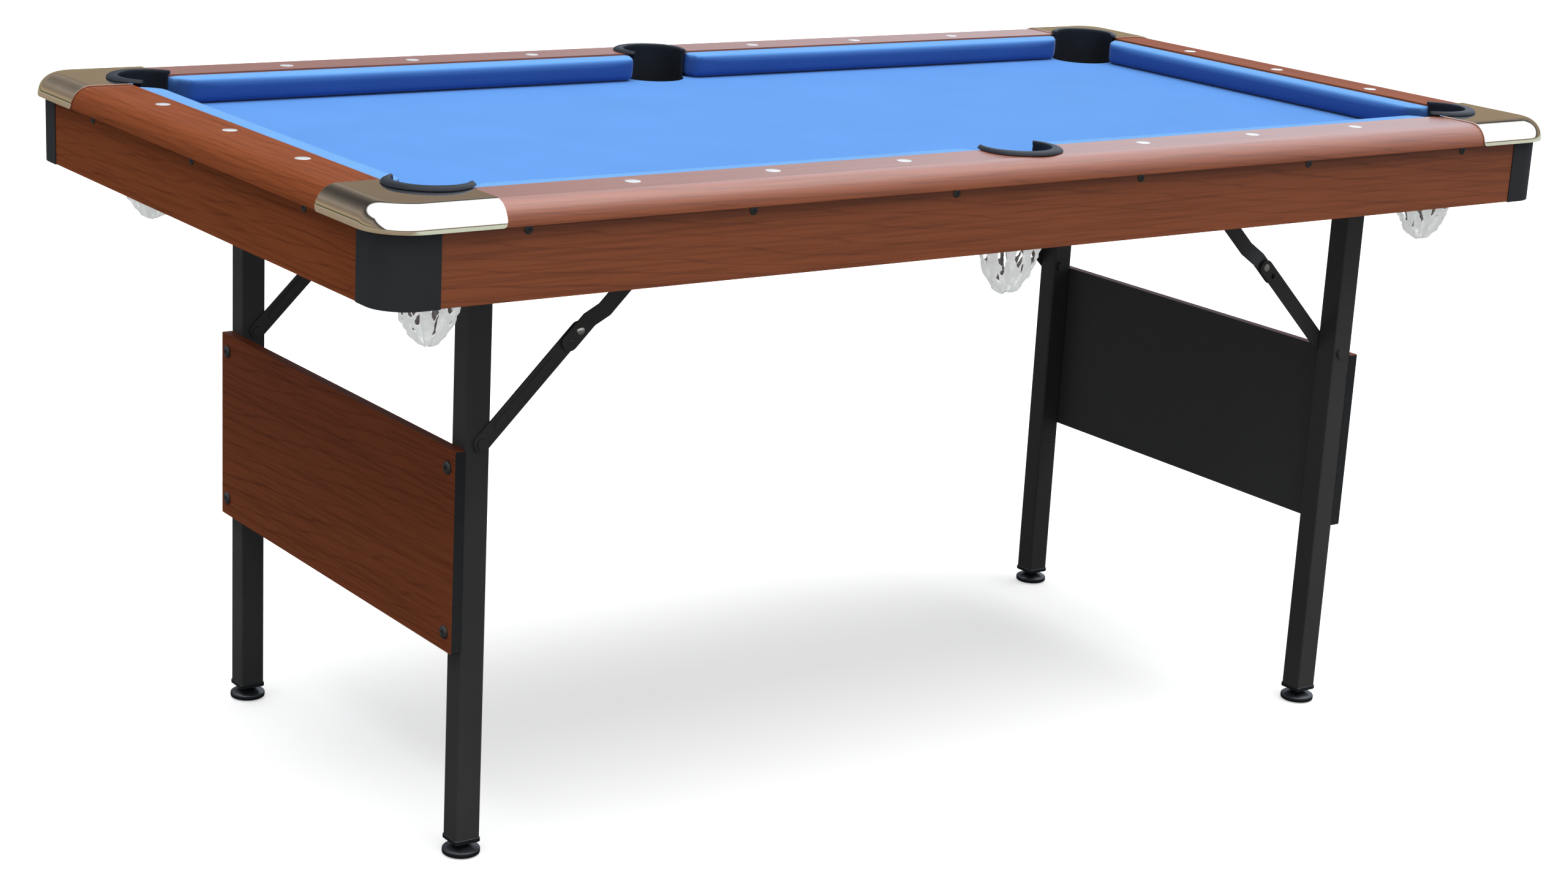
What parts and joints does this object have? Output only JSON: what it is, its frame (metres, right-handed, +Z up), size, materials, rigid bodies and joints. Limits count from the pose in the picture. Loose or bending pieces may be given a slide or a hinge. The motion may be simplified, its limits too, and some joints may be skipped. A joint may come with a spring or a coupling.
{
  "type": "folding pool table",
  "caption": "Family-size pool table: cloth bed, padded cushions, six netted pockets, chromed corners, on two folding leg frames with jointed braces and levelling feet.",
  "frame": {"origin": "on the floor under the centre of the table", "axes": "+X along the long side, +Y across the table, +Z up"},
  "size_m": [1.6796, 0.9046, 0.7945],
  "materials": {
    "cherry": "printed wood-grain laminate, satin",
    "panel": "darker wood-grain laminate outside, black inside",
    "fibreboard": "raw fibreboard",
    "cloth": "short-nap billiard cloth",
    "chrome": "bright chrome plate",
    "cover": "moulded black plastic",
    "liner": "soft black pocket moulding",
    "net": "milky flexible plastic web",
    "steel": "black powder coat, satin",
    "foot": "moulded black plastic"
  },
  "bodies": {
    "cabinet": {"bed_panel": "fibreboard", "bed_cloth": "cloth", "apron_front": "cherry", "apron_back": "cherry", "apron_left": "cherry", "apron_right": "cherry", "corner_cover_left_front": "cover", "corner_cover_right_front": "cover", "corner_cover_left_back": "cover", "corner_cover_right_back": "cover", "rail_front": "cherry", "rail_back": "cherry", "rail_right": "cherry", "rail_left": "cherry", "cushion_right": "cloth", "cushion_left": "cloth", "cushion_back_left": "cloth", "cushion_front_right": "cloth", "cushion_back_right": "cloth", "cushion_front_left": "cloth", "corner_cap_left_front": "chrome", "corner_cap_right_front": "chrome", "corner_cap_left_back": "chrome", "corner_cap_right_back": "chrome", "pocket_liner_left_front": "liner", "pocket_liner_right_front": "liner", "pocket_liner_left_back": "liner", "pocket_liner_right_back": "liner", "pocket_liner_side_front": "liner", "pocket_liner_side_back": "liner", "pocket_net_left_front": "net", "pocket_net_right_front": "net", "pocket_net_left_back": "net", "pocket_net_right_back": "net", "pocket_net_side_front": "net", "pocket_net_side_back": "net", "leg_mount_left": "steel", "leg_mount_right": "steel", "brace_bracket_left_front": "steel", "brace_bracket_left_back": "steel", "brace_bracket_right_front": "steel", "brace_bracket_right_back": "steel"},
    "leg_frame_left": {"leg_left_front": "steel", "leg_left_back": "steel", "end_panel_left": "panel"},
    "foot_left_front": {"foot_left_front": "foot"},
    "brace_upper_left_front": {"brace_upper_left_front": "steel"},
    "brace_lower_left_front": {"brace_lower_left_front": "steel"},
    "foot_left_back": {"foot_left_back": "foot"},
    "brace_upper_left_back": {"brace_upper_left_back": "steel"},
    "brace_lower_left_back": {"brace_lower_left_back": "steel"},
    "leg_frame_right": {"leg_right_front": "steel", "leg_right_back": "steel", "end_panel_right": "panel"},
    "foot_right_front": {"foot_right_front": "foot"},
    "brace_upper_right_front": {"brace_upper_right_front": "steel"},
    "brace_lower_right_front": {"brace_lower_right_front": "steel"},
    "foot_right_back": {"foot_right_back": "foot"},
    "brace_upper_right_back": {"brace_upper_right_back": "steel"},
    "brace_lower_right_back": {"brace_lower_right_back": "steel"}
  },
  "joints": [
    {"name": "left_legs_fold", "type": "hinge", "parent": "cabinet", "child": "leg_frame_left", "pos_m": [-0.611, 0.046, 0.714], "axis": [0, -1, 0], "range_deg": [0, 90]},
    {"name": "foot_left_front_level", "type": "slide", "parent": "leg_frame_left", "child": "foot_left_front", "axis": [0, 0, -1], "range_m": [0, 0.012]},
    {"name": "brace_left_front_top", "type": "hinge", "parent": "cabinet", "child": "brace_upper_left_front", "pos_m": [-0.365, -0.245, 0.718], "axis": [0, -1, 0], "range_deg": [-44.53, 0]},
    {"name": "brace_left_front_leg", "type": "hinge", "parent": "leg_frame_left", "child": "brace_lower_left_front", "pos_m": [-0.607, -0.245, 0.48], "axis": [0, -1, 0], "range_deg": [0, 45.49]},
    {"name": "foot_left_back_level", "type": "slide", "parent": "leg_frame_left", "child": "foot_left_back", "axis": [0, 0, -1], "range_m": [0, 0.012]},
    {"name": "brace_left_back_top", "type": "hinge", "parent": "cabinet", "child": "brace_upper_left_back", "pos_m": [-0.365, 0.307, 0.718], "axis": [0, -1, 0], "range_deg": [-44.53, 0]},
    {"name": "brace_left_back_leg", "type": "hinge", "parent": "leg_frame_left", "child": "brace_lower_left_back", "pos_m": [-0.607, 0.307, 0.48], "axis": [0, -1, 0], "range_deg": [0, 45.49]},
    {"name": "right_legs_fold", "type": "hinge", "parent": "cabinet", "child": "leg_frame_right", "pos_m": [0.611, -0.046, 0.714], "axis": [0, 1, 0], "range_deg": [0, 90]},
    {"name": "foot_right_front_level", "type": "slide", "parent": "leg_frame_right", "child": "foot_right_front", "axis": [0, 0, -1], "range_m": [0, 0.012]},
    {"name": "brace_right_front_top", "type": "hinge", "parent": "cabinet", "child": "brace_upper_right_front", "pos_m": [0.365, -0.307, 0.718], "axis": [0, 1, 0], "range_deg": [-44.53, 0]},
    {"name": "brace_right_front_leg", "type": "hinge", "parent": "leg_frame_right", "child": "brace_lower_right_front", "pos_m": [0.607, -0.307, 0.48], "axis": [0, 1, 0], "range_deg": [0, 45.49]},
    {"name": "foot_right_back_level", "type": "slide", "parent": "leg_frame_right", "child": "foot_right_back", "axis": [0, 0, -1], "range_m": [0, 0.012]},
    {"name": "brace_right_back_top", "type": "hinge", "parent": "cabinet", "child": "brace_upper_right_back", "pos_m": [0.365, 0.245, 0.718], "axis": [0, 1, 0], "range_deg": [-44.53, 0]},
    {"name": "brace_right_back_leg", "type": "hinge", "parent": "leg_frame_right", "child": "brace_lower_right_back", "pos_m": [0.607, 0.245, 0.48], "axis": [0, 1, 0], "range_deg": [0, 45.49]}
  ],
  "couplings": [
    {"joint": "brace_left_front_top", "follows": "left_legs_fold", "ratio": -0.49469},
    {"joint": "brace_left_front_leg", "follows": "left_legs_fold", "ratio": 0.50531},
    {"joint": "brace_left_back_top", "follows": "left_legs_fold", "ratio": -0.49469},
    {"joint": "brace_left_back_leg", "follows": "left_legs_fold", "ratio": 0.50531},
    {"joint": "brace_right_front_top", "follows": "right_legs_fold", "ratio": -0.49469},
    {"joint": "brace_right_front_leg", "follows": "right_legs_fold", "ratio": 0.50531},
    {"joint": "brace_right_back_top", "follows": "right_legs_fold", "ratio": -0.49469},
    {"joint": "brace_right_back_leg", "follows": "right_legs_fold", "ratio": 0.50531}
  ]
}
